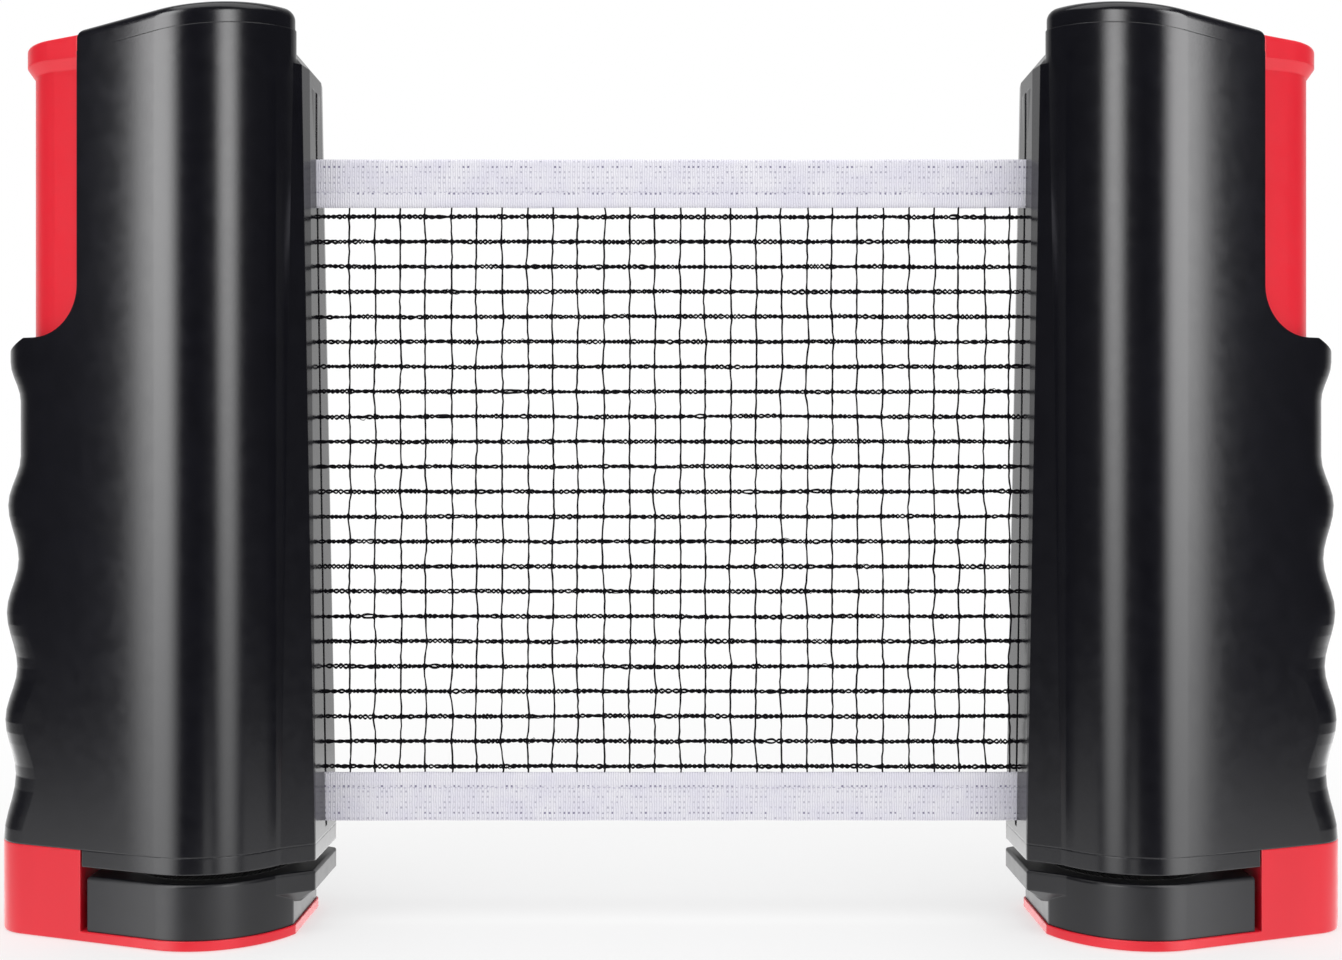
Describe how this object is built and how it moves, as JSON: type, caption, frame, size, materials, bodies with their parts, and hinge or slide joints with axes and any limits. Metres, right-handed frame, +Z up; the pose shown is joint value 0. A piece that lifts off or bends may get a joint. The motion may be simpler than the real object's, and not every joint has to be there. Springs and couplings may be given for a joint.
{
  "type": "retractable table tennis net clamp set",
  "caption": "Pair of black net posts with red thumb levers and spring-loaded table clamps, joined by a roll-up mesh net with white edge tapes.",
  "frame": {"origin": "mid span of the net at rest, on the plane of the closed lower jaws' undersides", "axes": "+X along the net to the right post, +Y to the back, +Z up"},
  "size_m": [0.2932, 0.044, 0.1985],
  "materials": {
    "black_plastic": "satin moulded plastic with a fine texture",
    "insert_plastic": "satin moulded plastic",
    "red_plastic": "semi-gloss moulded plastic",
    "rubber": "soft moulded rubber",
    "steel": "drawn bar",
    "spring_steel": "coiled wire",
    "tube_metal": "drawn tube",
    "bush_plastic": "moulded acetal",
    "net_cord": "twisted polyester cord",
    "tape_fabric": "ribbed woven tape"
  },
  "bodies": {
    "left_post": {"left_housing": "black_plastic", "left_base_cap": "black_plastic", "left_top_cap": "black_plastic", "left_base_screws": "steel", "left_upper_pad": "rubber", "left_guide_rod": "steel", "left_clamp_spring": "spring_steel", "left_axle": "steel", "left_axle_collar": "bush_plastic", "left_spring_anchor": "bush_plastic", "left_retract_spring": "spring_steel", "net_bottom_tape": "tape_fabric", "net_mesh": "net_cord", "net_top_tape": "tape_fabric"},
    "right_post": {"right_housing": "black_plastic", "right_base_cap": "black_plastic", "right_top_cap": "black_plastic", "right_base_screws": "steel", "right_upper_pad": "rubber", "right_guide_rod": "steel", "right_clamp_spring": "spring_steel", "right_axle": "steel", "right_axle_collar": "bush_plastic", "right_spring_anchor": "bush_plastic", "right_retract_spring": "spring_steel"},
    "left_clamp": {"left_clamp_lever": "red_plastic", "left_jaw_foot": "red_plastic", "left_foot_screws": "steel", "left_jaw_insert": "insert_plastic", "left_lower_pad": "rubber"},
    "right_clamp": {"right_clamp_lever": "red_plastic", "right_jaw_foot": "red_plastic", "right_foot_screws": "steel", "right_jaw_insert": "insert_plastic", "right_lower_pad": "rubber"},
    "left_roller": {"left_roller_tube": "tube_metal", "left_lower_bush": "bush_plastic", "left_upper_bush": "bush_plastic", "left_net_clip": "bush_plastic", "left_net_roll": "net_cord"},
    "right_roller": {"right_roller_tube": "tube_metal", "right_lower_bush": "bush_plastic", "right_upper_bush": "bush_plastic", "right_net_clip": "bush_plastic", "right_net_roll": "net_cord"}
  },
  "joints": [
    {"name": "net_pull", "type": "slide", "parent": "left_post", "child": "right_post", "axis": [1, 0, 0], "range_m": [-0.148, 1.55], "deforming": ["net_bottom_tape", "net_mesh", "net_top_tape"]},
    {"name": "left_clamp_slide", "type": "slide", "parent": "left_post", "child": "left_clamp", "axis": [0, 0, -1], "range_m": [0, 0.0485], "stiffness_N_per_m": 300, "springref_m": -0.05, "deforming": ["left_clamp_spring"]},
    {"name": "left_roller_spin", "type": "hinge", "parent": "left_post", "child": "left_roller", "pos_m": [-0.1, 0, 0.1], "axis": [0, 0, 1], "range_deg": [-4300, 450]},
    {"name": "right_clamp_slide", "type": "slide", "parent": "right_post", "child": "right_clamp", "axis": [0, 0, -1], "range_m": [0, 0.0485], "stiffness_N_per_m": 300, "springref_m": -0.05, "deforming": ["right_clamp_spring"]},
    {"name": "right_roller_spin", "type": "hinge", "parent": "right_post", "child": "right_roller", "pos_m": [0.1, 0, 0.1], "axis": [0, 0, 1], "range_deg": [-450, 4300]}
  ],
  "couplings": [
    {"joint": "left_roller_spin", "follows": "net_pull", "rad_per_m": -47.6},
    {"joint": "right_roller_spin", "follows": "net_pull", "rad_per_m": 47.6}
  ]
}
